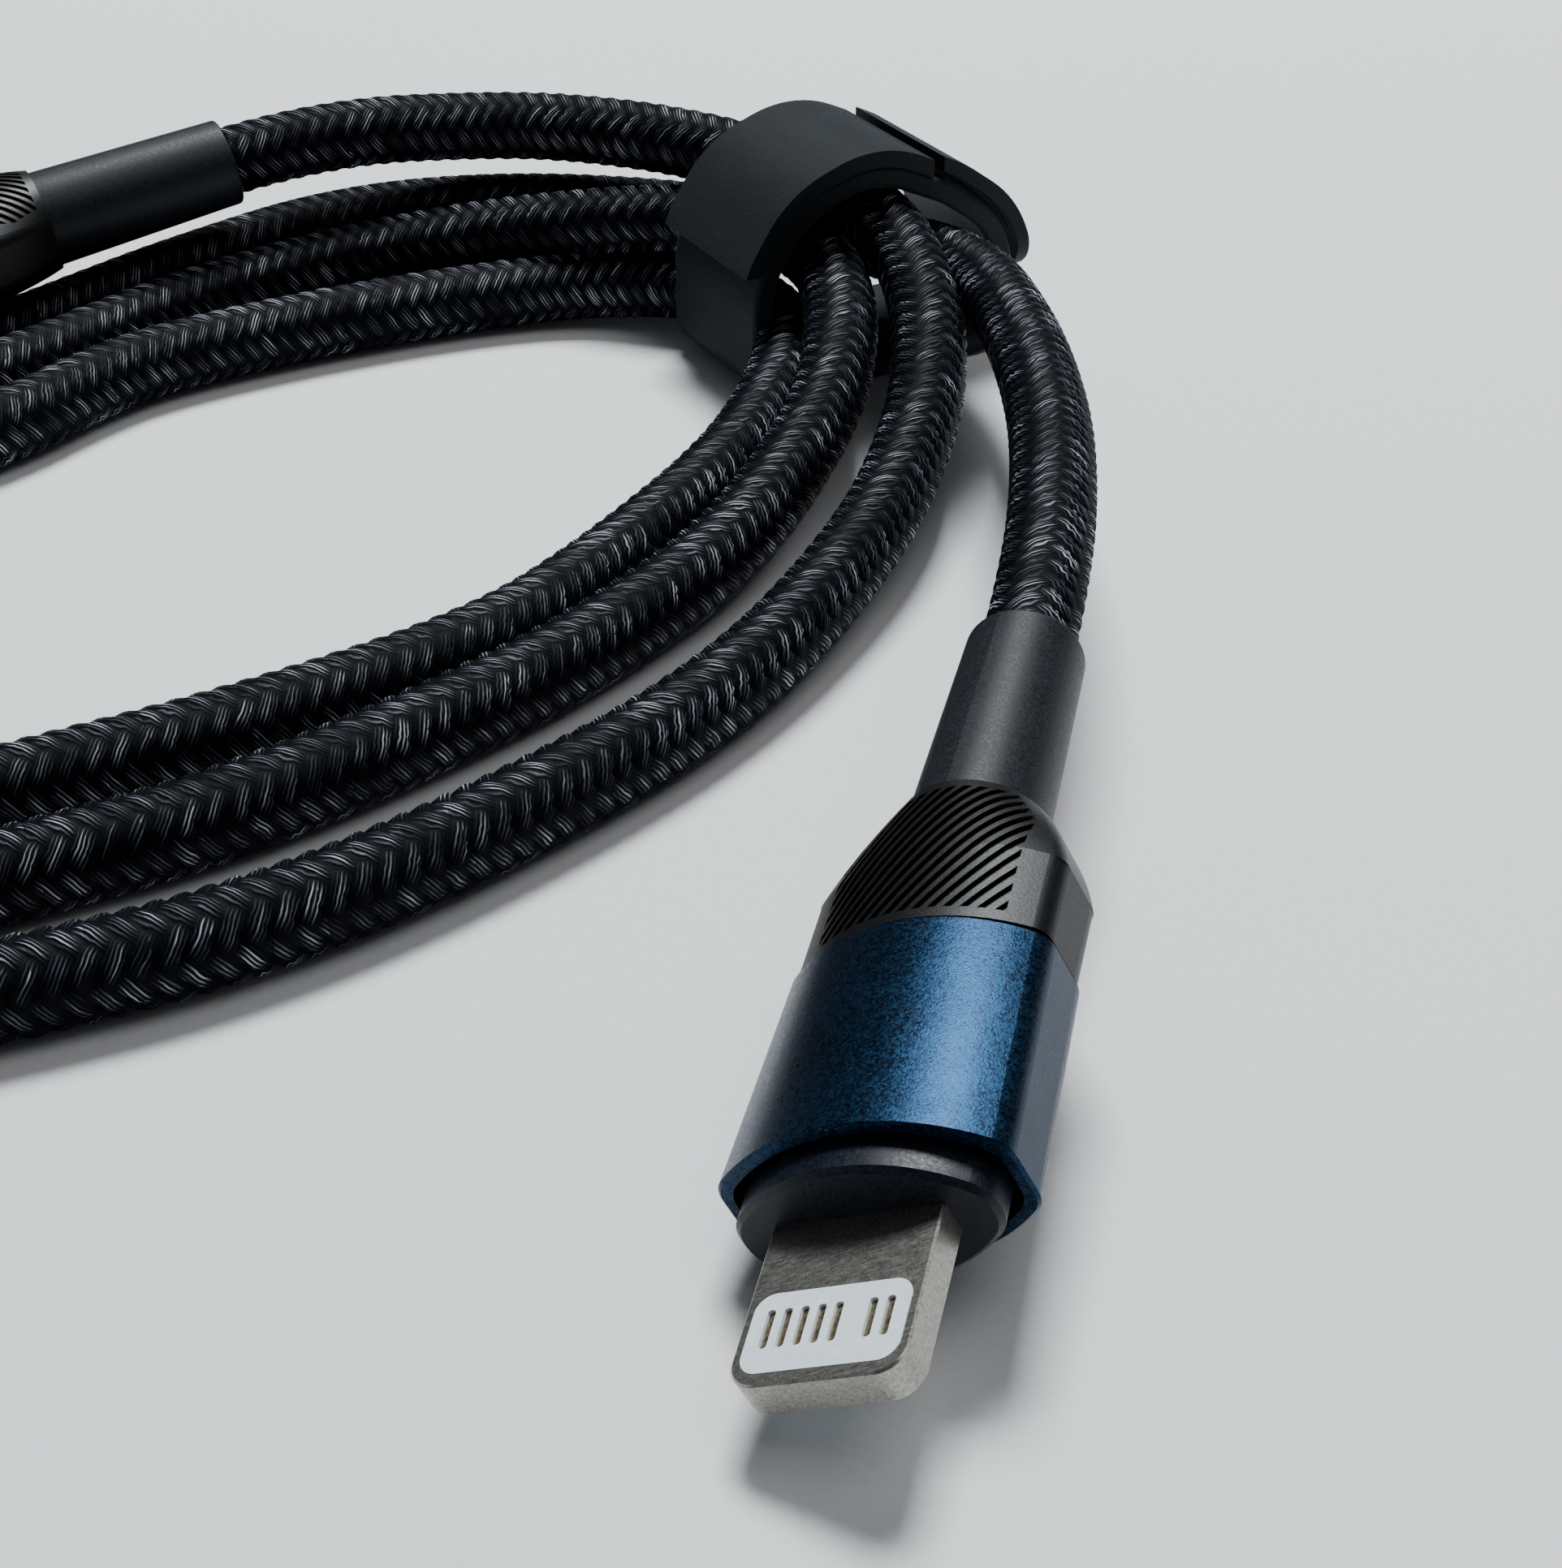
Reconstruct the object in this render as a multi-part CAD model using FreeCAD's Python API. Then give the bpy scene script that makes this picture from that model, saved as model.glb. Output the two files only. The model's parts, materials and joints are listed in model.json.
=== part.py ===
import FreeCAD, Part
import math
import os

# Braided charging cable, coiled in three turns and held by a strap.
# Frame: +Z up, the table is z = 0, the origin is under the middle of the two
# plugs and the strap. +X runs from the coil's closed end to the strap, +Y from
# the phone plug to the back of the coil. All sizes in mm.

os.makedirs("parts", exist_ok=True)

V = FreeCAD.Vector

# cord
CORD_D = 4.0

# moulded plug housing, shared by both ends. Local axes: x across, y from the
# mouth of the nose toward the cord, z through the thickness.
SHELL_W = 11.6
SHELL_REAR_W = 11.0
SHELL_T = 7.4
SHELL_FLAT = 3.0
SHELL_START = 1.4
SHELL_END = 11.7
BORE_W = 10.6
BORE_T = 6.5
BORE_FLAT = 2.4
NOSE_W = 10.1
NOSE_T = 6.0
NOSE_FLAT = 1.6
NOSE_END = 3.0
CORE_END = 9.8
COLLAR_START = 11.9
COLLAR_STRAIGHT_END = 15.9
COLLAR_END = 20.3
COLLAR_W = 10.7
COLLAR_T = 6.9
GROOVE_PITCH = 0.62
GROOVE_W = 0.30
GROOVE_DEPTH = 0.20
GROOVE_LEAN = 33.0
GROOVE_COUNT = 21
GROOVE_LOW = 1.9
GROOVE_SPAN = 8.0
GROOVE_MARGIN = 0.5
SLEEVE_START = 16.6
SLEEVE_END = 32.3
SLEEVE_FRONT_D = 5.8
SLEEVE_REAR_D = 5.3
FERRULE_START = 13.6
FERRULE_D = 4.9
BOARD_W = 5.6
BOARD_T = 0.8
CHIP = 2.4
CHIP_T = 0.7
WIRE_D = 0.9

# phone plug tongue
TAB_W = 6.69
TAB_T = 1.52
TAB_L = 6.85
TAB_CORNER = 1.1
PAD_W = 6.0
PAD_L = 3.3
PAD_FRONT_GAP = 0.5
PAD_PROUD = 0.03
CONTACT_PITCH = 0.65
CONTACT_W = 0.32
CONTACT_L = 1.6
CONTACT_SINK = 0.14
CONTACT_PLACES = (0, 1, 2, 3, 4, 6, 7)

# USB-C plug
USB_W = 8.25
USB_H = 2.4
USB_L = 6.65
USB_WALL = 0.25
USB_LINER = 0.22
USB_CONTACTS = 12
USB_PITCH = 0.5

# strap: a band round the bundle, its opening seen along STRAP_ALONG
STRAP_BAND_W = 10.3
STRAP_T = 1.3
STRAP_FOOT = V(26.09, 31.32, 0)
STRAP_TURN = 29.4
STRAP_OUTLINE = (
    (0.2, 0.0),
    (0.3, 7.6),
    (3.2, 12.0),
    (8.6, 13.9),
    (14.0, 11.4),
    (17.9, 8.6),
    (18.8, 4.6),
    (18.3, 0.0),
)
STRAP_FOOT_ROUND = 2.4
STRAP_ROUND = 6.5
STRAP_RIM = 0.35
FOLD_T = 1.0
FOLD_END = 12.5
FOLD_LOW_Z = 8.2
TAIL_GAP = 0.25
TAIL_T = 0.8
TAIL_ROOT = 13.2
TAIL_TIP_Z = 4.4
TAIL_TIP_R = 3.0
PATCH_T = 0.15

# poses of the plugs: mouth centre, heading of the cord end, rise, side tilt
PHONE_AT = (V(30.83, -42.65, 4.35), 14.0, 7.4, 26.0)
USB_AT = (V(-35.48, 32.58, 4.9), 63.3, 8.5, 0.0)

# leads: corners of the path between the sleeve and the strap
PHONE_LEAD = (
    V(40.23, -4.63, 9.0),
    V(41.83, 8.67, 9.4),
    V(40.53, 23.57, 8.8),
    V(36.13, 36.07, 7.4),
)
USB_LEAD = (
    V(2.93, 49.27, 10.9),
    V(14.43, 48.27, 11.6),
    V(22.63, 44.77, 10.2),
)

# coil: stations of the bundle's outer shape as (x, y, heading, width, bottom, top)
COIL_STATIONS = (
    (34.23, 34.17, 119.4, 10.2, 1.8, 9.5),
    (30.93, 39.97, 119.4, 10.2, 1.8, 9.5),
    (27.23, 45.27, 128.0, 9.5, 1.8, 9.8),
    (20.93, 44.37, 178.0, 6.6, 0.3, 11.2),
    (9.23, 45.87, 186.0, 9.0, 0.0, 10.0),
    (-2.57, 43.47, 207.0, 12.6, 0.0, 7.0),
    (-10.77, 37.87, 219.0, 13.8, 0.0, 4.6),
    (-17.57, 30.57, 224.0, 15.0, 0.0, 4.05),
    (-33.07, 15.67, 224.0, 15.0, 0.0, 4.05),
    (-48.57, -0.43, 230.0, 15.0, 0.0, 7.6),
    (-57.07, -15.93, 258.0, 14.0, 0.0, 8.2),
    (-54.57, -28.93, 304.0, 14.0, 0.0, 8.0),
    (-42.07, -34.63, 355.0, 15.0, 0.0, 5.4),
    (-23.07, -29.93, 20.0, 17.5, 0.0, 4.1),
    (-4.57, -19.43, 27.0, 18.5, 0.0, 4.1),
    (15.43, -6.93, 40.0, 17.0, 0.0, 4.1),
    (27.53, 8.17, 62.0, 15.2, 0.0, 5.4),
    (32.13, 23.07, 88.0, 13.6, 0.4, 8.2),
)


def crowned(width, thick, flat, y):
    """Closed outline across the plug: straight sides, domed top and bottom."""
    a = V(width / 2, y, -flat / 2)
    b = V(width / 2, y, flat / 2)
    c = V(-width / 2, y, flat / 2)
    d = V(-width / 2, y, -flat / 2)
    top = Part.Arc(b, V(0, y, thick / 2), c).toShape()
    bottom = Part.Arc(d, V(0, y, -thick / 2), a).toShape()
    return Part.Wire([Part.makeLine(a, b), top, Part.makeLine(c, d), bottom])


def long_edges(solid, y0, y1):
    """Edges that run the whole length between two sections."""
    found = []
    for edge in solid.Edges:
        box = edge.BoundBox
        if box.YLength > 0.9 * (y1 - y0) and box.ZLength < 1.0:
            found.append(edge)
    return found


def crowned_bar(front, rear, y0, y1, corner):
    """Bar between two crowned outlines, its four long edges rounded."""
    bar = Part.makeLoft([crowned(*front, y0), crowned(*rear, y1)], True, True)
    return bar.makeFillet(corner, long_edges(bar, y0, y1))


def slot_bar(width, height, y0, y1, round_r):
    """Flat bar with rounded long edges, centred on the y axis."""
    bar = Part.makeBox(width, y1 - y0, height, V(-width / 2, y0, -height / 2))
    return bar.makeFillet(round_r, long_edges(bar, y0, y1))


def rod(diameter, y0, y1, x=0.0, z=0.0):
    return Part.makeCylinder(diameter / 2, y1 - y0, V(x, y0, z), V(0, 1, 0))


def tube(outer, inner, y0, y1):
    return rod(outer, y0, y1).cut(rod(inner, y0, y1))


def bore(y0, y1):
    size = (BORE_W, BORE_T, BORE_FLAT)
    return crowned_bar(size, size, y0, y1, 1.3)


def nose(opening):
    size = (NOSE_W, NOSE_T, NOSE_FLAT)
    body = crowned_bar(size, size, 0.0, NOSE_END, 1.6)
    rim = [e for e in body.Edges if e.BoundBox.YLength < 0.01 and e.BoundBox.YMax < 0.01]
    body = body.makeChamfer(0.22, rim)
    return body.cut(opening)


def shell():
    front = (SHELL_W, SHELL_T, SHELL_FLAT)
    rear = (SHELL_REAR_W, SHELL_T, SHELL_FLAT)
    body = crowned_bar(front, rear, SHELL_START, SHELL_END, 1.2)
    ends = [e for e in body.Edges if e.BoundBox.YLength < 0.01]
    body = body.makeChamfer(0.12, ends)
    return body.cut(bore(SHELL_START - 1, SHELL_END + 1))


def core():
    body = bore(NOSE_END, CORE_END)
    slot = Part.makeBox(BOARD_W, CORE_END - NOSE_END, BOARD_T, V(-BOARD_W / 2, NOSE_END, -BOARD_T / 2))
    pocket = Part.makeBox(CHIP, CHIP, CHIP_T, V(-CHIP / 2, 5.2, BOARD_T / 2))
    return body.cut(slot).cut(pocket)


def board():
    return Part.makeBox(BOARD_W, CORE_END - NOSE_END, BOARD_T, V(-BOARD_W / 2, NOSE_END, -BOARD_T / 2))


def chip():
    return Part.makeBox(CHIP, CHIP, CHIP_T, V(-CHIP / 2, 5.2, BOARD_T / 2))


def collar_skin(inset):
    """Outside of the collar, drawn in by the inset: a straight part, then a
    shoulder that narrows to the sleeve."""
    w = COLLAR_W - 2 * inset
    t = COLLAR_T - 2 * inset
    size = (w, t, SHELL_FLAT - inset)
    straight = crowned_bar(size, size, COLLAR_START, COLLAR_STRAIGHT_END, 1.1)
    sections = [
        crowned(w, t, SHELL_FLAT - inset, COLLAR_STRAIGHT_END),
        crowned(w - 1.9, t - 0.25, 2.6 - inset, COLLAR_STRAIGHT_END + 2.5),
        crowned(w - 4.4, t - 0.75, 2.0 - inset, COLLAR_END),
    ]
    shoulder = Part.makeLoft(sections, True, False)
    shoulder = shoulder.makeFillet(0.9, long_edges(shoulder, COLLAR_STRAIGHT_END, COLLAR_END))
    return straight.fuse(shoulder).removeSplitter()


def grooves():
    """Fine slanting cuts over the domed top and bottom of the collar."""
    middle = (COLLAR_START + COLLAR_END) / 2
    blades = []
    for i in range(GROOVE_COUNT):
        x = (i - (GROOVE_COUNT - 1) / 2) * GROOVE_PITCH
        for turn in (0, 180):
            blade = Part.makeBox(GROOVE_W, 16, 4, V(x - GROOVE_W / 2, middle - 8, GROOVE_LOW))
            blade.rotate(V(x, middle, 0), V(0, 0, 1), -GROOVE_LEAN)
            blade.rotate(V(0, middle, 0), V(0, 1, 0), turn)
            blades.append(blade)
    length = COLLAR_END - COLLAR_START - 2 * GROOVE_MARGIN
    window = Part.makeBox(GROOVE_SPAN, length, 20, V(-GROOVE_SPAN / 2, COLLAR_START + GROOVE_MARGIN, -10))
    return Part.makeCompound(blades).common(window).cut(collar_skin(GROOVE_DEPTH))


def collar():
    size = (BORE_W, BORE_T, BORE_FLAT)
    spigot = crowned_bar(size, size, CORE_END, COLLAR_START, 1.3)
    body = collar_skin(0.0).fuse(spigot).removeSplitter()
    body = body.cut(rod(FERRULE_D + 0.1, CORE_END - 1, SLEEVE_START))
    body = body.cut(sleeve_body())
    return body.cut(grooves())


def sleeve_body():
    inner = rod(SLEEVE_FRONT_D, SLEEVE_START, COLLAR_END)
    taper = Part.makeCone(
        SLEEVE_FRONT_D / 2, SLEEVE_REAR_D / 2, SLEEVE_END - COLLAR_END, V(0, COLLAR_END, 0), V(0, 1, 0)
    )
    rim = [e for e in taper.Edges if abs(e.BoundBox.YMin - SLEEVE_END) < 0.01]
    return inner.fuse(taper.makeFillet(0.2, rim)).removeSplitter()


def sleeve():
    return sleeve_body().cut(rod(CORD_D, SLEEVE_START - 1, SLEEVE_END + 1))


def ferrule():
    return tube(FERRULE_D, CORD_D, FERRULE_START, SLEEVE_START - 0.1)


def cord_end():
    return rod(CORD_D, FERRULE_START, SLEEVE_END)


def wires():
    """Four cores from the cord end to the back of the board."""
    cores = []
    for x in (-1.2, 1.2):
        for z in (-0.95, 0.95):
            cores.append(rod(WIRE_D, CORE_END, FERRULE_START, x, z))
    return Part.makeCompound(cores)


def tab_body():
    body = Part.makeBox(TAB_W, TAB_L + NOSE_END, TAB_T, V(-TAB_W / 2, -TAB_L, -TAB_T / 2))
    corners = []
    for edge in body.Edges:
        box = edge.BoundBox
        if box.ZLength > 1 and box.YMax < -TAB_L + 0.01:
            corners.append(edge)
    body = body.makeFillet(TAB_CORNER, corners)
    rims = []
    for edge in body.Edges:
        box = edge.BoundBox
        if box.ZLength < 0.01 and box.YMin < -0.5 + NOSE_END - 1e-3 and box.YMax < NOSE_END + 0.01:
            if box.YMin < NOSE_END - 0.5:
                rims.append(edge)
    return body.makeChamfer(0.08, rims)


def pad_block(grow):
    y0 = -TAB_L + PAD_FRONT_GAP
    height = TAB_T + 2 * grow
    block = Part.makeBox(PAD_W, PAD_L, height, V(-PAD_W / 2, y0, -height / 2))
    upright = [e for e in block.Edges if e.BoundBox.ZLength > 1]
    return block.makeFillet(0.75, upright)


def contact_bars(depth, length, width, top):
    """A row of bars on the upper face, turned over for the lower face."""
    y0 = -TAB_L + PAD_FRONT_GAP + (PAD_L - length) / 2 + 0.15
    bars = []
    for place in CONTACT_PLACES:
        x = (place - 3.5) * CONTACT_PITCH
        bar = Part.makeBox(width, length, depth, V(x - width / 2, y0, top - depth))
        upright = [e for e in bar.Edges if e.BoundBox.ZLength > 0.9 * depth]
        bar = bar.makeFillet(width * 0.42, upright)
        bars.append(bar)
        under = bar.copy()
        under.rotate(V(0, 0, 0), V(0, 1, 0), 180)
        bars.append(under)
    return Part.makeCompound(bars)


def phone_tongue():
    """Metal tongue, its moulded contact carrier and the contacts."""
    surface = TAB_T / 2 + PAD_PROUD
    carrier = pad_block(PAD_PROUD)
    wells = contact_bars(CONTACT_SINK + 0.1, CONTACT_L, CONTACT_W, surface)
    contacts = contact_bars(0.1, CONTACT_L, CONTACT_W, surface - CONTACT_SINK)
    tab = tab_body().cut(pad_block(0.2))
    return tab, carrier.cut(wells), contacts


def usb_tube(width, height, y0, y1):
    return slot_bar(width, height, y0, y1, height / 2 - 0.02)


def usb_mouth():
    """Drawn steel shell, plastic liner, two rows of contacts and two latches."""
    outer = usb_tube(USB_W, USB_H, -USB_L, NOSE_END)
    w = USB_W - 2 * USB_WALL
    h = USB_H - 2 * USB_WALL
    steel = outer.cut(usb_tube(w, h, -USB_L - 1, NOSE_END + 1))
    liner = usb_tube(w, h, -USB_L + 0.5, NOSE_END)
    hollow = usb_tube(w - 2 * USB_LINER, h - 2 * USB_LINER, -USB_L - 1, -0.9)
    liner = liner.cut(hollow)
    face = h / 2 - USB_LINER
    bars = []
    for i in range(USB_CONTACTS):
        x = (i - (USB_CONTACTS - 1) / 2) * USB_PITCH
        for side in (-1, 1):
            z = side * (face - 0.07) - 0.05
            bars.append(Part.makeBox(0.24, 3.6, 0.1, V(x - 0.12, -4.6, z)))
    contacts = Part.makeCompound(bars)
    latches = []
    for side in (-1, 1):
        x = side * (w / 2 - USB_LINER - 0.25) - 0.1
        latches.append(Part.makeBox(0.2, 4.0, 0.5, V(x, -5.0, -0.25)))
    latch = Part.makeCompound(latches)
    return steel, liner.cut(contacts).cut(latch), contacts, latch


def stand(pose):
    """Placement of a plug: mouth centre, heading of its cord end, rise and tilt."""
    at, heading, rise, tilt = pose
    turn = FreeCAD.Rotation(V(0, 0, 1), -heading)
    lift = FreeCAD.Rotation(V(1, 0, 0), rise)
    roll = FreeCAD.Rotation(V(0, 1, 0), -tilt)
    return FreeCAD.Placement(at, turn.multiply(lift).multiply(roll))


def write(name, shape):
    shape.exportStep("parts/" + name + ".step")
    box = shape.optimalBoundingBox()
    if not name.startswith("cord"):
        WHOLE.add(box)
    size = "%7.2f %7.2f %7.2f" % (box.XLength, box.YLength, box.ZLength)
    print("%-22s solids %2d  size %s  low %6.2f" % (name, len(shape.Solids), size, box.ZMin))


def write_placed(name, shape, place):
    moved = shape.copy()
    moved.Placement = place.multiply(moved.Placement)
    write(name, moved)


def housing_pieces():
    """The pieces both plugs share, in the plug's own axes."""
    return {
        "shell": shell(),
        "core": core(),
        "board": board(),
        "chip": chip(),
        "collar": collar(),
        "sleeve": sleeve(),
        "ferrule": ferrule(),
        "cord_end": cord_end(),
        "wires": wires(),
    }


def write_housing(prefix, place, opening, pieces):
    write_placed(prefix + "_nose", nose(opening), place)
    for name in pieces:
        write_placed(prefix + "_" + name, pieces[name], place)


def rounded_path(points):
    """Straight runs joined by tangent arcs; returns the wire and its radii."""
    edges = []
    radii = []
    start = points[0]
    for i in range(1, len(points) - 1):
        before = points[i] - points[i - 1]
        after = points[i + 1] - points[i]
        half = before.getAngle(after) / 2
        cut = 0.45 * min(before.Length, after.Length)
        radii.append(cut / math.tan(half))
        before.normalize()
        after.normalize()
        a = points[i] - before * cut
        b = points[i] + after * cut
        out = after - before
        out.normalize()
        centre = points[i] + out * (radii[-1] / math.cos(half))
        middle = centre - out * radii[-1]
        edges.append(Part.LineSegment(start, a).toShape())
        edges.append(Part.Arc(a, middle, b).toShape())
        start = b
    edges.append(Part.LineSegment(start, points[-1]).toShape())
    return Part.Wire(edges), radii


def cord_tube(name, points):
    path, radii = rounded_path(points)
    way = points[1] - points[0]
    ring = Part.Wire([Part.makeCircle(CORD_D / 2, points[0], way)])
    solid = path.makePipeShell([ring], True, True)
    straight = math.pi * CORD_D ** 2 / 4 * path.Length
    print(name, "radii", [round(r, 1) for r in radii], "length %.1f" % path.Length)
    print(name, "volume %.1f against %.1f" % (solid.Volume, straight))
    write(name, solid)


def coil_section(station):
    """Rounded outline of the bundle across its run."""
    x, y, heading, width, bottom, top = station
    angle = math.radians(heading)
    side = V(-math.sin(angle), math.cos(angle), 0)
    up = V(0, 0, 1)
    r = CORD_D / 2 * 0.96
    centre = V(x, y, (bottom + top) / 2)
    a = width / 2 - r
    b = (top - bottom) / 2 - r
    bend = r * math.sqrt(0.5)
    edges = []
    for sx, sz, flip in ((1, 1, False), (-1, 1, True), (-1, -1, False), (1, -1, True)):
        hub = centre + side * (sx * a) + up * (sz * b)
        p = hub + side * (sx * r)
        q = hub + up * (sz * r)
        m = hub + side * (sx * bend) + up * (sz * bend)
        ends = (q, p) if flip else (p, q)
        edges.append((ends[0], m, ends[1]))
    shapes = []
    for i in range(4):
        shapes.append(Part.Arc(*edges[i]).toShape())
        nxt = edges[(i + 1) % 4]
        if edges[i][2].distanceToPoint(nxt[0]) > 1e-6:
            shapes.append(Part.makeLine(edges[i][2], nxt[0]))
    return Part.Wire(shapes)


def coil():
    """Closed ring of the bundle's outer shape, lofted as two halves that meet."""
    sections = [coil_section(s) for s in COIL_STATIONS]
    half = len(sections) // 2
    first = Part.makeLoft(sections[: half + 1], True, True)
    second = Part.makeLoft(sections[half:] + sections[:1], True, True)
    return first.fuse(second)


def strap_point(u, along, z):
    """Point of the strap: u across the opening, along the cords, height z."""
    a = math.radians(STRAP_TURN)
    across = V(math.cos(a), math.sin(a), 0)
    back = V(-math.sin(a), math.cos(a), 0)
    return STRAP_FOOT + across * u + back * along + V(0, 0, z)


def strap_block(outline, along0, along1):
    points = [strap_point(u, along0, z) for u, z in outline]
    face = Part.Face(Part.makePolygon(points + [points[0]]))
    return face.extrude(strap_point(0, along1, 0) - strap_point(0, along0, 0))


def strap_way():
    return strap_point(0, 1, 0) - strap_point(0, 0, 0)


def is_foot_run(edge):
    """True for the two sharp edges along the strap's foot."""
    along = abs(edge.tangentAt(edge.FirstParameter).dot(strap_way())) > 0.99
    return along and edge.CenterOfMass.z < 0.01


def strap_solid(grow):
    """The strap's outline, rounded, grown outward and run along the cords."""
    block = strap_block(STRAP_OUTLINE, 0, STRAP_BAND_W)
    runs = []
    for edge in block.Edges:
        if abs(edge.tangentAt(edge.FirstParameter).dot(strap_way())) > 0.99:
            runs.append(edge)
    shoulders = [edge for edge in runs if edge.CenterOfMass.z > 0.01]
    block = block.makeFillet(STRAP_ROUND, shoulders)
    feet = [edge for edge in block.Edges if is_foot_run(edge)]
    block = block.makeFillet(STRAP_FOOT_ROUND, feet)
    middle = strap_point(9, 0, 6)
    face = min(block.Faces, key=lambda f: (f.CenterOfMass - middle).Length)
    if grow != 0:
        face = Part.Face(face.OuterWire).makeOffset2D(grow)
    return face.extrude(strap_way() * STRAP_BAND_W)


def strap_layer(inner, outer, u0, u1, z0, z1, inset):
    """Part of a layer round the strap, kept inside a window across the opening."""
    ring = strap_solid(outer).cut(strap_solid(inner))
    window = ((u0, z0), (u1, z0), (u1, z1), (u0, z1))
    return ring.common(strap_block(window, inset, STRAP_BAND_W - inset))


def strap_tongue(inner):
    """Free end of the strap: over the shoulder and down the side, tip rounded."""
    tongue = strap_layer(inner, inner + TAIL_T, TAIL_ROOT, 30, TAIL_TIP_Z, 20, 0)
    tip = []
    for edge in tongue.Edges:
        if abs(edge.Length - TAIL_T) < 0.05 and edge.CenterOfMass.z < TAIL_TIP_Z + 0.1:
            tip.append(edge)
    return tongue.makeFillet(TAIL_TIP_R, tip)


def soft_rims(layer):
    """Rounds the edges that go round the strap at its two rims."""
    rims = []
    for edge in layer.Edges:
        if abs(edge.tangentAt(edge.FirstParameter).dot(strap_way())) < 0.01:
            rims.append(edge)
    return layer.makeFillet(STRAP_RIM, rims)


def strap_parts():
    low = PATCH_T + TAIL_GAP
    band = soft_rims(strap_solid(0).cut(strap_solid(-STRAP_T)))
    fold = strap_layer(0, FOLD_T, -5, FOLD_END, FOLD_LOW_Z, 20, 0)
    loop = strap_layer(0, PATCH_T, TAIL_ROOT + 0.6, 30, TAIL_TIP_Z + 1.5, 20, 0.8)
    hook = strap_layer(low, low + PATCH_T, TAIL_ROOT + 0.6, 30, TAIL_TIP_Z + 3.2, 20, 0.8)
    tail = strap_tongue(low + PATCH_T)
    return band, fold, loop, hook, tail


WHOLE = FreeCAD.BoundBox()
phone = stand(PHONE_AT)
usb = stand(USB_AT)
shared = housing_pieces()

tab, carrier, contacts = phone_tongue()
write_placed("phone_tab", tab, phone)
write_placed("phone_carrier", carrier, phone)
write_placed("phone_contacts", contacts, phone)
write_housing("phone", phone, tab_body(), shared)

steel, liner, usb_contacts, latch = usb_mouth()
write_placed("usb_mouth", steel, usb)
write_placed("usb_liner", liner, usb)
write_placed("usb_contacts", usb_contacts, usb)
write_placed("usb_latch", latch, usb)
write_housing("usb", usb, usb_tube(USB_W, USB_H, -USB_L, NOSE_END), shared)

band, fold, loop, hook, tail = strap_parts()
write("strap_band", band)
write("strap_fold", fold)
write("strap_loop_patch", loop)
write("strap_hook_patch", hook)
write("strap_tail", tail)

write("cord_coil", coil())
cord_tube("cord_lead_phone", (phone.multVec(V(0, SLEEVE_END, 0)),) + PHONE_LEAD)
cord_tube("cord_lead_usb", (usb.multVec(V(0, SLEEVE_END, 0)),) + USB_LEAD)
print("plugs and strap", WHOLE)
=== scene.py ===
import json
import math

import bpy
import numpy as np
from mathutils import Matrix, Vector


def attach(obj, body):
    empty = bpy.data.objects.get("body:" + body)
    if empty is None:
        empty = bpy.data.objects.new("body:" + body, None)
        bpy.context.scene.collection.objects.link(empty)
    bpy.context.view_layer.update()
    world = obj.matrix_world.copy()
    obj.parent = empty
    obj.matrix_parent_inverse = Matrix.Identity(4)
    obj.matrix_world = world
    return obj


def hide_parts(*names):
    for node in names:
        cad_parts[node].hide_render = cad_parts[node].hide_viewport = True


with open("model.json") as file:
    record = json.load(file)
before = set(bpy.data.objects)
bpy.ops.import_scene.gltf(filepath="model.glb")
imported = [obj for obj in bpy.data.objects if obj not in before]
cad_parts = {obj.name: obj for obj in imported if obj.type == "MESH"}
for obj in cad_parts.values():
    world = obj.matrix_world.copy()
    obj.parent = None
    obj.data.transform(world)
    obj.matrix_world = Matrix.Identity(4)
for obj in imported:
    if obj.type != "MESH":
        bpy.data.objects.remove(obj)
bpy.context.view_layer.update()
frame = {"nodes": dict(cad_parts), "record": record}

# Charging cable, coiled in three turns and held by a strap. Metres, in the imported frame.

MM = 0.001

# cord: diameter, one stitch of the braid along it, yarns each way round it
CORD_D = 4.0 * MM
STITCH = 1.15 * MM
YARNS = 8
RING_SEGMENTS = 32
RINGS_PER_STITCH = 4
STITCH_RISE = 0.13 * MM
YARN_RISE = 0.25 * MM
CORE_RADIUS = CORD_D / 2 - 0.17 * MM
CROSSING_SINK = 0.3
FILAMENTS = 5.0
# keeps a cell's edge off the mesh points, where floor() could fall either way
CELL_SLIP = 1e-6
# lifts the yarn numbers clear of zero
YARN_NUMBER_START = 57.0
CURVE_STEPS = 40

# floor and world
FLOOR_HALF = 3.0
FLOOR_DROP = 0.0001
WORLD_COLOUR = (0.86, 0.92, 1.0, 1.0)
WORLD_STRENGTH = 0.09

# camera
CAMERA_AT = (0.02789, -0.10438, 0.0644)
CAMERA_TILT = 56.0
CAMERA_LENS = 56.83
CAMERA_SENSOR = 36.0
CAMERA_NEAR = 0.005

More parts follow.
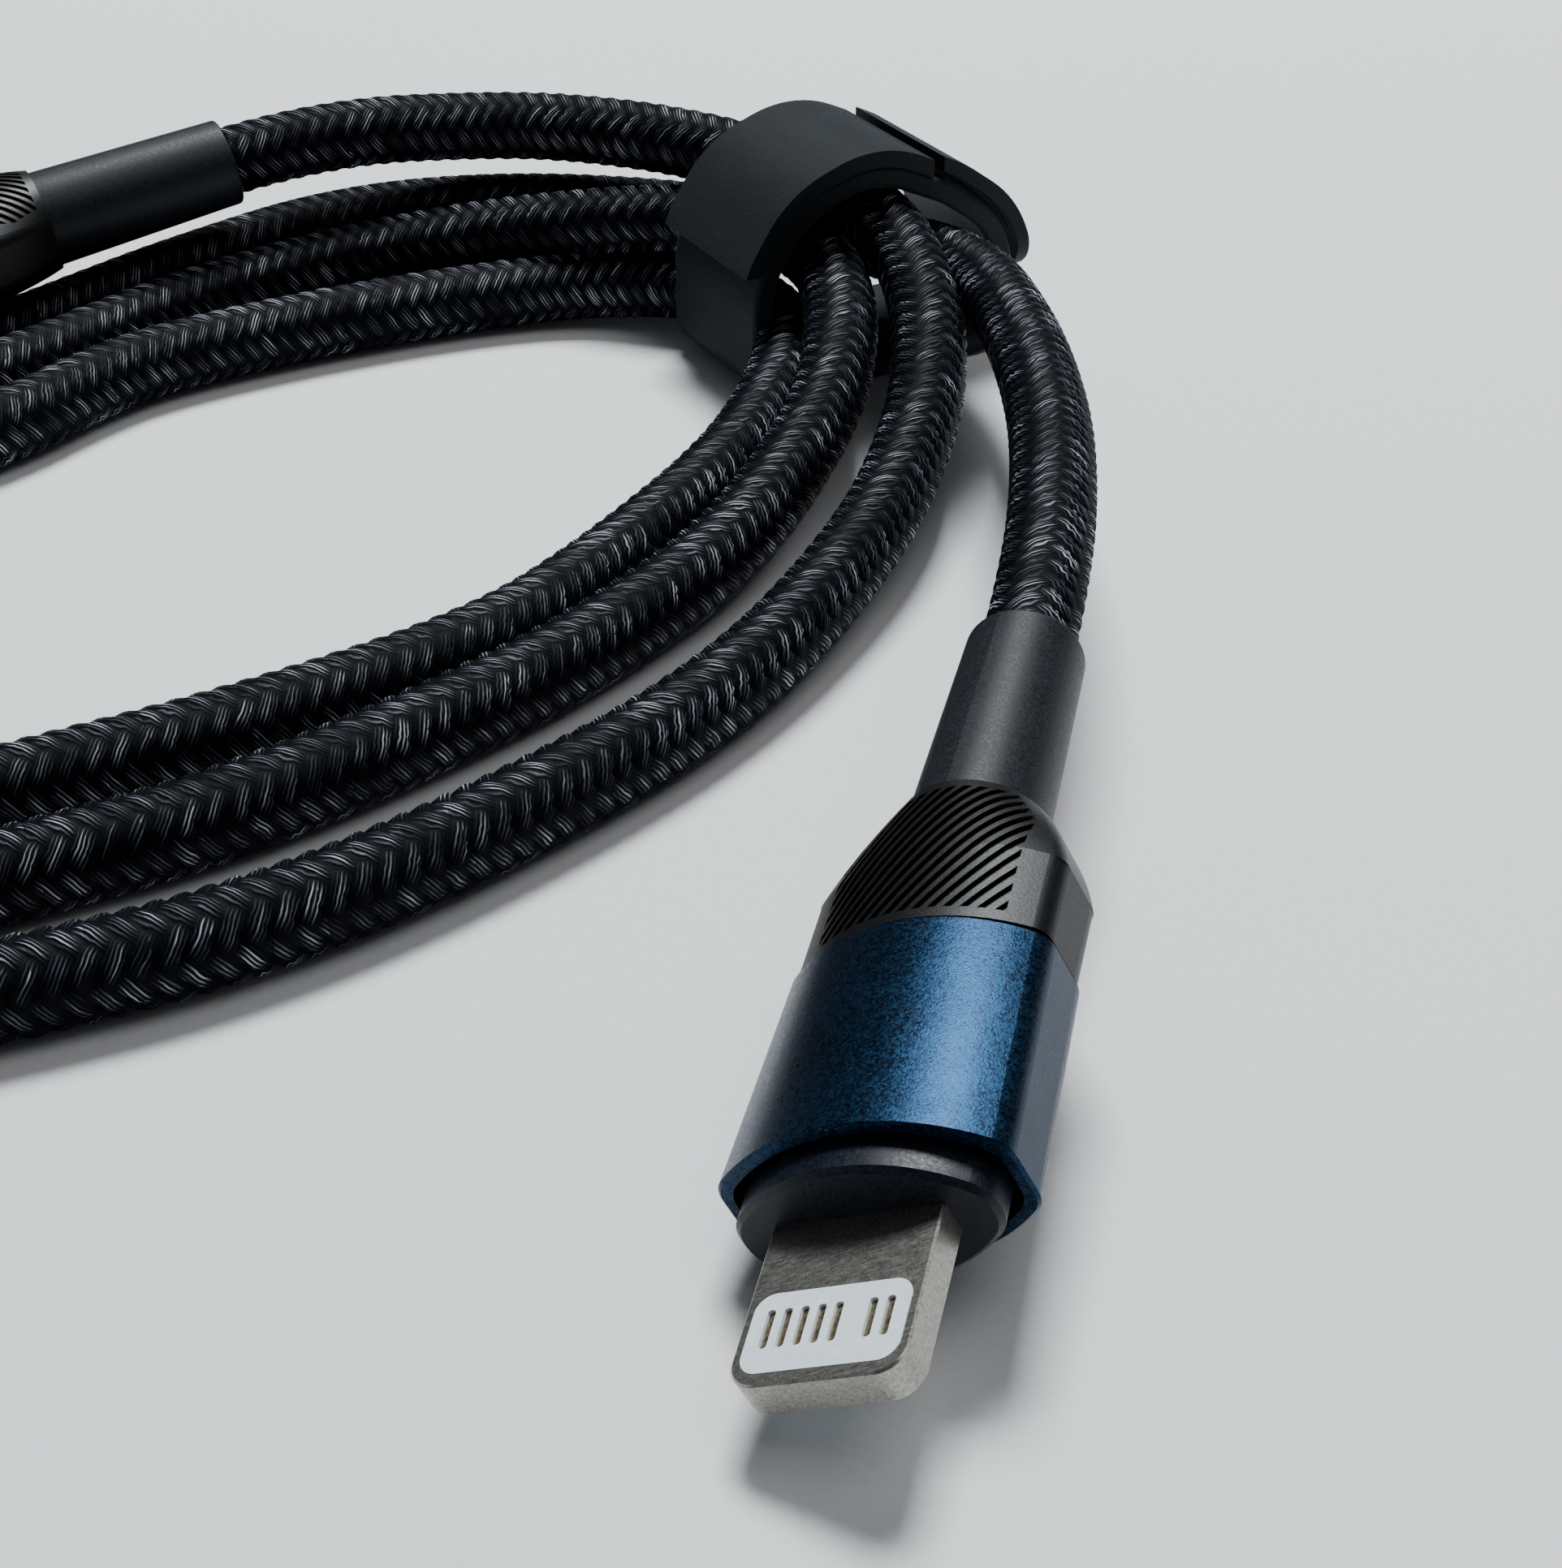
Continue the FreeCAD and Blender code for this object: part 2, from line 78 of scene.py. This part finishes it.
# route of the cord in mm, from the phone plug's sleeve round to the USB plug's sleeve
LEAD = (
    (38.58, -11.57, 8.51), (40.13, -4.63, 9.3), (41.23, 4.17, 9.4), (41.63, 12.17, 9.3),
    (41.13, 22.07, 9.0),
    (39.83, 31.97, 8.0), (36.53, 39.67, 6.7), (29.43, 45.27, 5.6),
)
FIRST_TURN = (
    (21.73, 49.37, 5.4), (9.73, 52.37, 4.9), (-1.37, 51.37, 4.2), (-10.97, 46.07, 2.8),
    (-16.37, 40.87, 2.3),
    (-20.97, 35.77, 2.05), (-36.57, 19.87, 2.05), (-51.77, 3.67, 2.6), (-59.67, -10.53, 5.2),
    (-58.37, -22.03, 6.8), (-50.67, -28.13, 6.9), (-40.67, -26.13, 4.6), (-24.67, -21.93, 2.05),
    (-7.07, -12.53, 2.05), (2.93, -7.33, 2.05), (13.53, 0.07, 2.05), (19.03, 8.07, 2.05),
    (25.13, 19.27, 2.3),
    (27.83, 27.47, 3.2), (28.53, 34.07, 3.6), (26.43, 39.27, 3.5), (22.43, 43.47, 2.9),
)
SECOND_TURN = (
    (16.03, 45.07, 2.3), (9.23, 43.77, 2.05), (-0.47, 39.57, 2.05), (-9.47, 34.17, 2.05),
    (-13.07, 30.17, 2.05),
    (-16.67, 24.27, 2.05), (-29.37, 11.67, 2.05), (-42.17, -2.13, 2.05), (-51.67, -16.03, 2.05),
    (-51.97, -27.13, 2.05), (-42.17, -33.13, 2.05), (-23.37, -28.13, 2.05),
    (-5.37, -19.03, 2.05), (4.13, -14.03, 2.05), (14.03, -5.13, 2.05), (19.43, 1.07, 2.05),
    (25.33, 8.87, 2.7),
    (29.63, 18.47, 4.4), (31.23, 24.47, 6.0), (31.43, 31.97, 7.2), (29.73, 38.67, 7.4),
    (25.43, 43.47, 7.2),
)
THIRD_TURN = (
    (19.63, 45.47, 6.6), (9.03, 47.57, 4.8), (-0.87, 46.07, 3.4), (-9.77, 41.47, 2.4),
    (-14.87, 36.07, 2.05),
    (-19.07, 31.17, 2.05), (-33.37, 15.87, 2.05), (-47.77, 0.37, 2.05), (-57.77, -15.73, 2.05),
    (-57.97, -30.73, 2.05), (-43.17, -38.73, 2.05), (-21.67, -33.93, 2.05),
    (-3.37, -26.83, 2.05), (5.73, -22.93, 2.05), (15.03, -15.73, 2.05), (25.53, -4.43, 2.05),
    (32.43, 8.57, 3.2),
    (35.33, 17.57, 4.8), (36.33, 23.77, 6.3), (36.13, 30.47, 8.2), (34.03, 37.67, 9.6),
    (29.23, 43.37, 10.2),
)
RETURN = (
    (22.23, 47.47, 10.7), (15.33, 50.47, 10.6), (9.33, 52.07, 10.3), (-1.17, 49.67, 10.6),
    (-6.95, 46.93, 9.68),
)


class Graph:
    """Short way to write a material's nodes."""

    def __init__(self, name):
        self.material = bpy.data.materials.new(name)
        self.material.use_nodes = True
        self.tree = self.material.node_tree
        self.tree.nodes.clear()
        self.shader = self.add("ShaderNodeBsdfPrincipled")
        out = self.add("ShaderNodeOutputMaterial")
        self.join(self.shader.outputs[0], out.inputs["Surface"])

    def add(self, kind, **settings):
        node = self.tree.nodes.new(kind)
        for key, value in settings.items():
            setattr(node, key, value)
        return node

    def join(self, source, target):
        self.tree.links.new(source, target)

    def feed(self, socket, value):
        """Links an output, or sets a plain value."""
        if hasattr(value, "is_output"):
            self.join(value, socket)
        else:
            socket.default_value = value

    def set(self, **values):
        """Sets or links sockets of the surface shader, by their names with _ for spaces."""
        for key, value in values.items():
            self.feed(self.shader.inputs[key.replace("_", " ")], value)

    def calc(self, operation, a, b=0.0, c=0.0):
        node = self.add("ShaderNodeMath", operation=operation)
        self.feed(node.inputs[0], a)
        self.feed(node.inputs[1], b)
        self.feed(node.inputs[2], c)
        return node.outputs[0]

    def stretch(self, scale):
        """The object's own coordinates, scaled by three numbers."""
        node = self.add("ShaderNodeMapping")
        self.join(self.add("ShaderNodeTexCoord").outputs["Object"], node.inputs[0])
        node.inputs["Scale"].default_value = scale
        return node.outputs[0]

    def noise(self, size, detail=2.0, rough=0.5, where=None):
        """Noise with features of about this size in metres."""
        node = self.add("ShaderNodeTexNoise")
        node.inputs["Scale"].default_value = 1.0 / size
        node.inputs["Detail"].default_value = detail
        node.inputs["Roughness"].default_value = rough
        source = where or self.add("ShaderNodeTexCoord").outputs["Object"]
        self.join(source, node.inputs["Vector"])
        return node.outputs["Fac"]

    def cells(self, size):
        """A random value per cell of about this size in metres."""
        node = self.add("ShaderNodeTexVoronoi")
        node.inputs["Scale"].default_value = 1.0 / size
        self.join(self.add("ShaderNodeTexCoord").outputs["Object"], node.inputs["Vector"])
        pick = self.add("ShaderNodeSeparateColor")
        self.join(node.outputs["Color"], pick.inputs[0])
        return pick.outputs[0]

    def ramp(self, value, *stops):
        """Colour ramp with stops of (place, colour)."""
        node = self.add("ShaderNodeValToRGB")
        band = node.color_ramp
        while len(band.elements) < len(stops):
            band.elements.new(0.5)
        for element, (where, colour) in zip(band.elements, stops):
            element.position = where
            element.color = (*colour, 1.0)
        self.join(value, node.inputs[0])
        return node.outputs[0]

    def span(self, value, low, high, to_low, to_high):
        node = self.add("ShaderNodeMapRange")
        self.feed(node.inputs[0], value)
        for i, number in enumerate((low, high, to_low, to_high)):
            self.feed(node.inputs[i + 1], number)
        return node.outputs[0]

    def bump(self, height, distance, strength=1.0):
        node = self.add("ShaderNodeBump")
        node.inputs["Strength"].default_value = strength
        node.inputs["Distance"].default_value = distance
        self.join(height, node.inputs["Height"])
        return node.outputs[0]


def braid_material():
    """Nylon yarns, each of fine filaments, two over and two under, with painted highlights on the yarn
    crowns and painted shade in the crevices.
    """
    g = Graph("cord_braid_look")
    uv = g.add("ShaderNodeUVMap", uv_map="braid")
    part = g.add("ShaderNodeSeparateXYZ")
    g.join(uv.outputs[0], part.inputs[0])
    turn = g.calc("MULTIPLY", part.outputs[0], float(YARNS))
    a = g.calc("ADD", turn, part.outputs[1])
    b = g.calc("SUBTRACT", turn, part.outputs[1])
    whole_a = g.calc("FLOOR", a)
    whole_b = g.calc("FLOOR", b)
    four = g.calc("FLOORED_MODULO", g.calc("ADD", whole_a, whole_b), 4.0)
    first_up = g.calc("LESS_THAN", four, 1.5)
    across_a = g.calc("SUBTRACT", a, whole_a)
    across_b = g.calc("SUBTRACT", b, whole_b)
    mix = g.add("ShaderNodeMix", data_type="FLOAT")
    g.join(first_up, mix.inputs[0])
    g.join(across_b, mix.inputs[2])
    g.join(across_a, mix.inputs[3])
    across = mix.outputs[0]
    along_a = g.calc("MULTIPLY", g.calc("ADD", four, across_b), 0.5)
    along_b = g.calc("MULTIPLY", g.calc("ADD", g.calc("SUBTRACT", four, 2.0), across_a), 0.5)
    lengthwise = g.add("ShaderNodeMix", data_type="FLOAT")
    g.join(first_up, lengthwise.inputs[0])
    g.join(along_b, lengthwise.inputs[2])
    g.join(along_a, lengthwise.inputs[3])
    along = lengthwise.outputs[0]
    number = g.add("ShaderNodeMix", data_type="FLOAT")
    g.join(first_up, number.inputs[0])
    g.join(g.calc("ADD", whole_b, YARN_NUMBER_START), number.inputs[2])
    g.join(whole_a, number.inputs[3])
    # filaments run along the yarn: a ripple across it, wandering a little
    wander = g.noise(1.6 * MM, 2.0)
    place = g.calc("MULTIPLY_ADD", wander, 0.35, across)
    ripple = g.calc("SINE", g.calc("MULTIPLY", place, 2 * math.pi * FILAMENTS))
    ripple = g.calc("MULTIPLY_ADD", ripple, 0.5, 0.5)
    crown = g.calc("MULTIPLY", across, g.calc("SUBTRACT", 1.0, across))
    crown = g.calc("MULTIPLY", crown, 4.0)
    # a random tone for each filament of each stitch
    spot = g.add("ShaderNodeCombineXYZ")
    g.join(g.calc("FLOOR", g.calc("MULTIPLY", place, FILAMENTS)), spot.inputs[0])
    g.join(number.outputs[0], spot.inputs[1])
    g.join(g.calc("FLOOR", g.calc("MULTIPLY", part.outputs[1], 0.5)), spot.inputs[2])
    tone = g.add("ShaderNodeTexWhiteNoise", noise_dimensions="3D")
    g.join(spot.outputs[0], tone.inputs[0])
    # painted light: the crown and mid-stitch mask brightens the colour where highlights fall, and its low
    # edges and stitch ends darken it as painted shade
    arch = g.calc("MULTIPLY", g.calc("MULTIPLY", along, g.calc("SUBTRACT", 1.0, along)), 4.0)
    crown_mask_and_painted_light = g.calc("MULTIPLY", ripple, g.calc("POWER", crown, 0.6))
    crown_mask_and_painted_light = g.calc("MULTIPLY", crown_mask_and_painted_light, g.calc("POWER", arch, 0.6))
    crown_mask_and_painted_light = g.calc("MULTIPLY", crown_mask_and_painted_light, g.span(tone.outputs[0], 0.0, 1.0, 0.5, 1.0))
    patchy = g.span(g.noise(2.2 * MM, 3.0), 0.35, 0.65, 0.62, 1.15)
    crown_mask_and_painted_light = g.calc("MULTIPLY", crown_mask_and_painted_light, patchy)
    # base colour from near black to pale grey: painted shade in the crevices, painted highlight on the
    # filament crowns
    colour = g.ramp(
        crown_mask_and_painted_light,
        (0.0, (0.0004, 0.0006, 0.0016)),
        (0.3, (0.0018, 0.0027, 0.0070)),
        (0.55, (0.045, 0.050, 0.068)),
        (0.85, (0.46, 0.48, 0.53)),
    )
    g.set(Base_Color=colour, Roughness=g.span(crown_mask_and_painted_light, 0.0, 1.0, 0.62, 0.42))
    g.set(Specular_IOR_Level=g.span(crown_mask_and_painted_light, 0.2, 0.8, 0.06, 0.5))
    g.set(Normal=g.bump(crown_mask_and_painted_light, 0.05 * MM, 0.9))
    return g.material


def strap_material(name, nap):
    """Napped strap fabric with a faint blue bloom."""
    g = Graph(name)
    fine = g.noise(nap, 3.0, 0.65)
    broad = g.noise(2.5 * MM, 3.0)
    lint = g.calc("GREATER_THAN", g.noise(0.22 * MM, 1.0), 0.74)
    mixed = g.calc("ADD", g.calc("MULTIPLY", fine, 0.65), g.calc("MULTIPLY", broad, 0.35))
    mixed = g.calc("MULTIPLY_ADD", lint, 0.25, mixed)
    colour = g.ramp(
        mixed,
        (0.25, (0.0015, 0.0022, 0.0032)),
        (0.55, (0.0042, 0.0068, 0.0095)),
        (0.8, (0.018, 0.024, 0.031)),
    )
    g.set(Base_Color=colour, Roughness=0.7, Specular_IOR_Level=0.2)
    g.set(Sheen_Weight=0.12, Sheen_Roughness=0.4, Sheen_Tint=(0.6, 0.75, 0.85, 1.0))
    g.set(Normal=g.bump(mixed, nap * 0.5, 0.7))
    return g.material


def steel_material():
    """Satin nickel plating, faintly mottled, with fine rubbing marks."""
    g = Graph("plug_steel_look")
    grain = g.noise(0.12 * MM, 3.0, 0.7)
    rub = g.noise(0.5 * MM, 4.0, 0.7, g.stretch((1.0, 6.0, 1.0)))
    tone = g.ramp(grain, (0.3, (0.22, 0.215, 0.20)), (0.7, (0.46, 0.445, 0.40)))
    g.set(Base_Color=tone, Metallic=1.0, Roughness=g.span(rub, 0.3, 0.7, 0.30, 0.46))
    g.set(Normal=g.bump(grain, 0.01 * MM, 0.5))
    return g.material


def pad_material():
    """Pale moulded insert round the contacts."""
    g = Graph("white_pad_look")
    grain = g.noise(0.3 * MM, 3.0)
    tone = g.ramp(grain, (0.3, (0.74, 0.84, 0.90)), (0.7, (0.86, 0.93, 0.96)))
    g.set(Base_Color=tone, Roughness=g.span(grain, 0.3, 0.7, 0.28, 0.42))
    g.set(Normal=g.bump(grain, 0.012 * MM, 0.4))
    return g.material


def contact_material():
    g = Graph("contact_gold_look")
    grain = g.noise(0.15 * MM, 3.0)
    tone = g.ramp(grain, (0.3, (0.10, 0.085, 0.055)), (0.7, (0.24, 0.20, 0.13)))
    g.set(Base_Color=tone, Metallic=1.0, Roughness=g.span(grain, 0.3, 0.7, 0.35, 0.55))
    return g.material


def blasted_material(name, dark, light, metal, rough, sparkle):
    """Fine bead-blasted or satin surface: tiny facets that catch the light."""
    g = Graph(name)
    facet = g.cells(0.10 * MM)
    fine = g.noise(0.09 * MM, 2.0, 0.6)
    mixed = g.calc("MULTIPLY_ADD", facet, 0.5, g.calc("MULTIPLY", fine, 0.5))
    broad = g.noise(3.0 * MM, 2.0)
    tone = g.calc("MULTIPLY_ADD", broad, 0.3, g.calc("MULTIPLY", mixed, 0.7))
    colour = g.ramp(tone, (0.3, dark), (0.7, light))
    g.set(Base_Color=colour, Metallic=metal, Roughness=g.span(facet, 0.0, 1.0, rough - 0.07, rough + 0.07))
    g.set(Specular_IOR_Level=0.3)
    g.set(Normal=g.bump(mixed, 0.02 * MM, sparkle))
    return g.material


def plastic_material(name, dark, light, rough):
    """Moulded plastic or rubber with a fine grain."""
    g = Graph(name)
    fine = g.noise(0.10 * MM, 3.0, 0.6)
    broad = g.noise(2.0 * MM, 2.0)
    tone = g.calc("MULTIPLY_ADD", broad, 0.4, g.calc("MULTIPLY", fine, 0.6))
    colour = g.ramp(tone, (0.3, dark), (0.7, light))
    g.set(Base_Color=colour, Roughness=g.span(fine, 0.3, 0.7, rough - 0.06, rough + 0.06))
    g.set(Specular_IOR_Level=0.3)
    g.set(Normal=g.bump(fine, 0.015 * MM, 0.5))
    return g.material


def floor_material():
    g = Graph("floor_look")
    grain = g.noise(0.4 * MM, 3.0)
    tone = g.ramp(grain, (0.3, (0.88, 0.88, 0.88)), (0.7, (0.92, 0.92, 0.92)))
    g.set(Base_Color=tone, Roughness=0.9)
    return g.material


def assign(node, material):
    slots = frame["nodes"][node].data.materials
    slots.clear()
    slots.append(material)


def route_curve(points):
    """The cord's one smooth spline."""
    data = bpy.data.curves.new("cord_route", "CURVE")
    data.dimensions = "3D"
    data.resolution_u = CURVE_STEPS
    spline = data.splines.new("NURBS")
    spline.points.add(len(points) - 1)
    for control, at in zip(spline.points, points):
        control.co = (at[0] * MM, at[1] * MM, at[2] * MM, 1.0)
    spline.order_u = 3
    spline.use_endpoint_u = True
    return bpy.data.objects.new("cord_route", data)


def spline_points(curve):
    """Points along the spline, evenly spaced by one ring of the braid's mesh."""
    mesh = bpy.data.meshes.new_from_object(curve)
    line = np.array([v.co for v in mesh.vertices])
    bpy.data.meshes.remove(mesh)
    run = np.linalg.norm(np.diff(line, axis=0), axis=1)
    along = np.concatenate(([0.0], np.cumsum(run)))
    count = int(round(along[-1] / (STITCH / RINGS_PER_STITCH)))
    stations = np.linspace(0.0, along[-1], count + 1)
    even = np.stack([np.interp(stations, along, line[:, i]) for i in range(3)], axis=1)
    return even, along[-1]


def carried_frames(line):
    """Two directions across the line at each point, carried along it without twisting."""
    way = np.gradient(line, axis=0)
    way /= np.linalg.norm(way, axis=1)[:, None]
    side = np.cross(way[0], (0.0, 0.0, 1.0))
    side /= np.linalg.norm(side)
    sides = []
    for direction in way:
        side = side - direction * np.dot(side, direction)
        side /= np.linalg.norm(side)
        sides.append(side)
    sides = np.array(sides)
    return sides, np.cross(way, sides)


def braid_height(a, b):
    """Height of the braid above its core where two sets of yarns cross."""
    whole_a = np.floor(a)
    whole_b = np.floor(b)
    dome_a = np.sqrt(np.clip(1.0 - (2 * (a - whole_a) - 1) ** 2, 0, 1))
    dome_b = np.sqrt(np.clip(1.0 - (2 * (b - whole_b) - 1) ** 2, 0, 1))
    over_a = STITCH_RISE * np.cos(math.pi / 2 * (whole_a + b - 1)) + YARN_RISE * dome_a
    over_b = STITCH_RISE * np.cos(math.pi / 2 * (whole_b + a - 3)) + YARN_RISE * dome_b
    return np.maximum(over_a, over_b)


def braid_tube(line):
    """Closed tube along the line with the braid's yarns raised on it."""
    rings = len(line)
    side, up = carried_frames(line)
    u = np.arange(RING_SEGMENTS) / RING_SEGMENTS
    v = np.arange(rings) / RINGS_PER_STITCH
    grid_u, grid_v = np.meshgrid(u, v)
    a = YARNS * grid_u + grid_v + CELL_SLIP
    b = YARNS * grid_u - grid_v + CELL_SLIP
    radius = CORE_RADIUS - STITCH_RISE * CROSSING_SINK + braid_height(a, b)
    angle = 2 * math.pi * grid_u
    offset = np.cos(angle)[..., None] * side[:, None, :] + np.sin(angle)[..., None] * up[:, None, :]
    points = line[:, None, :] + radius[..., None] * offset
    vertices = points.reshape(-1, 3)
    faces = []
    marks = []
    for ring in range(rings - 1):
        for k in range(RING_SEGMENTS):
            nxt = (k + 1) % RING_SEGMENTS
            row = ring * RING_SEGMENTS
            faces.append((row + k, row + nxt, row + RING_SEGMENTS + nxt, row + RING_SEGMENTS + k))
            u0 = k / RING_SEGMENTS
            u1 = (k + 1) / RING_SEGMENTS
            v0 = ring / RINGS_PER_STITCH
            v1 = (ring + 1) / RINGS_PER_STITCH
            marks += [u0, v0, u1, v0, u1, v1, u0, v1]
    last = (rings - 1) * RING_SEGMENTS
    faces.append(tuple(reversed(range(RING_SEGMENTS))))
    faces.append(tuple(last + k for k in range(RING_SEGMENTS)))
    marks += [0.5, 0.0] * (2 * RING_SEGMENTS)
    mesh = bpy.data.meshes.new("cord_braid")
    mesh.from_pydata(vertices.tolist(), [], faces)
    layer = mesh.uv_layers.new(name="braid")
    layer.data.foreach_set("uv", marks)
    mesh.shade_smooth()
    return mesh


def build_cord():
    route = LEAD + FIRST_TURN + SECOND_TURN + THIRD_TURN + RETURN
    curve = route_curve(route)
    line, length = spline_points(curve)
    print("cord length %.1f mm" % (length / MM))
    mesh = braid_tube(line)
    mesh.materials.append(braid_material())
    cord = bpy.data.objects.new("cord_braid", mesh)
    bpy.context.scene.collection.objects.link(cord)
    bpy.data.objects.remove(curve)
    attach(cord, "cable")
    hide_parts("cord_coil", "cord_lead_phone", "cord_lead_usb")


def dress_nodes():
    """Materials for the pieces that CAD makes."""
    nose = blasted_material(
        "nose_blue_look", (0.0006, 0.0014, 0.0042), (0.0026, 0.0065, 0.018), 0.0, 0.44, 0.5,
    )
    shell = blasted_material(
        "shell_blue_look", (0.0012, 0.006, 0.019), (0.009, 0.038, 0.082), 0.85, 0.33, 1.0,
    )
    collar = plastic_material(
        "collar_black_look", (0.0008, 0.0010, 0.0014), (0.0030, 0.0034, 0.0044), 0.42,
    )
    sleeve = blasted_material(
        "sleeve_grey_look", (0.0026, 0.0036, 0.0055), (0.011, 0.014, 0.020), 0.0, 0.5, 0.6,
    )
    looks = {
        "plug_steel": steel_material(),
        "white_pad": pad_material(),
        "contact_gold": contact_material(),
        "nose_blue": nose,
        "shell_blue": shell,
        "collar_black": collar,
        "sleeve_grey": sleeve,
        "inner_plastic": plastic_material(
            "inner_plastic_look", (0.02, 0.02, 0.022), (0.05, 0.05, 0.055), 0.5,
        ),
        "board_green": plastic_material("board_green_look", (0.01, 0.06, 0.03), (0.03, 0.13, 0.07), 0.4),
        "chip_black": plastic_material("chip_black_look", (0.01, 0.01, 0.01), (0.03, 0.03, 0.03), 0.5),
        "ferrule_brass": contact_material(),
        "core_wire": plastic_material("core_wire_look", (0.20, 0.03, 0.03), (0.45, 0.08, 0.07), 0.5),
        "cord_braid": plastic_material("cord_core_look", (0.004, 0.005, 0.008), (0.02, 0.022, 0.03), 0.7),
        "strap_fabric": strap_material("strap_fabric_look", 0.12 * MM),
        "strap_pile": strap_material("strap_pile_look", 0.3 * MM),
    }
    for piece in frame["record"]["subparts"]:
        assign(piece["node"], looks[piece["material_slot"]])


def build_floor():
    mesh = bpy.data.meshes.new("floor")
    far = FLOOR_HALF
    corners = [(-far, -far, 0), (far, -far, 0), (far, far, 0), (-far, far, 0)]
    mesh.from_pydata(corners, [], [(0, 1, 2, 3)])
    mesh.materials.append(floor_material())
    floor = bpy.data.objects.new("floor", mesh)
    bpy.context.scene.collection.objects.link(floor)
    floor.location.z = -FLOOR_DROP


def soft_light(name, at, target, size, power, colour):
    data = bpy.data.lights.new(name, "AREA")
    data.shape = "RECTANGLE"
    data.size = size[0]
    data.size_y = size[1]
    data.energy = power
    data.color = colour
    light = bpy.data.objects.new(name, data)
    light.location = at
    light.rotation_euler = (Vector(target) - Vector(at)).to_track_quat("-Z", "Y").to_euler()
    bpy.context.scene.collection.objects.link(light)


def build_lights():
    middle = (0.0, 0.0, 0.0)
    soft_light("window_light", (0.04, 0.44, 0.80), middle, (0.34, 0.26), 13.0, (0.93, 0.97, 1.0))
    soft_light("top_light", (0.35, -0.15, 0.9), middle, (0.5, 0.5), 1.6, (1.0, 1.0, 1.0))
    world = bpy.data.worlds.new("studio")
    world.use_nodes = True
    back = world.node_tree.nodes["Background"]
    back.inputs[0].default_value = WORLD_COLOUR
    back.inputs[1].default_value = WORLD_STRENGTH
    bpy.context.scene.world = world


def build_camera():
    data = bpy.data.cameras.new("camera")
    data.lens = CAMERA_LENS
    data.sensor_width = CAMERA_SENSOR
    data.clip_start = CAMERA_NEAR
    data.dof.use_dof = False
    camera = bpy.data.objects.new("camera", data)
    camera.location = CAMERA_AT
    camera.rotation_euler = (math.radians(CAMERA_TILT), 0.0, 0.0)
    bpy.context.scene.collection.objects.link(camera)
    bpy.context.scene.camera = camera


build_camera()
build_floor()
build_lights()
dress_nodes()
build_cord()
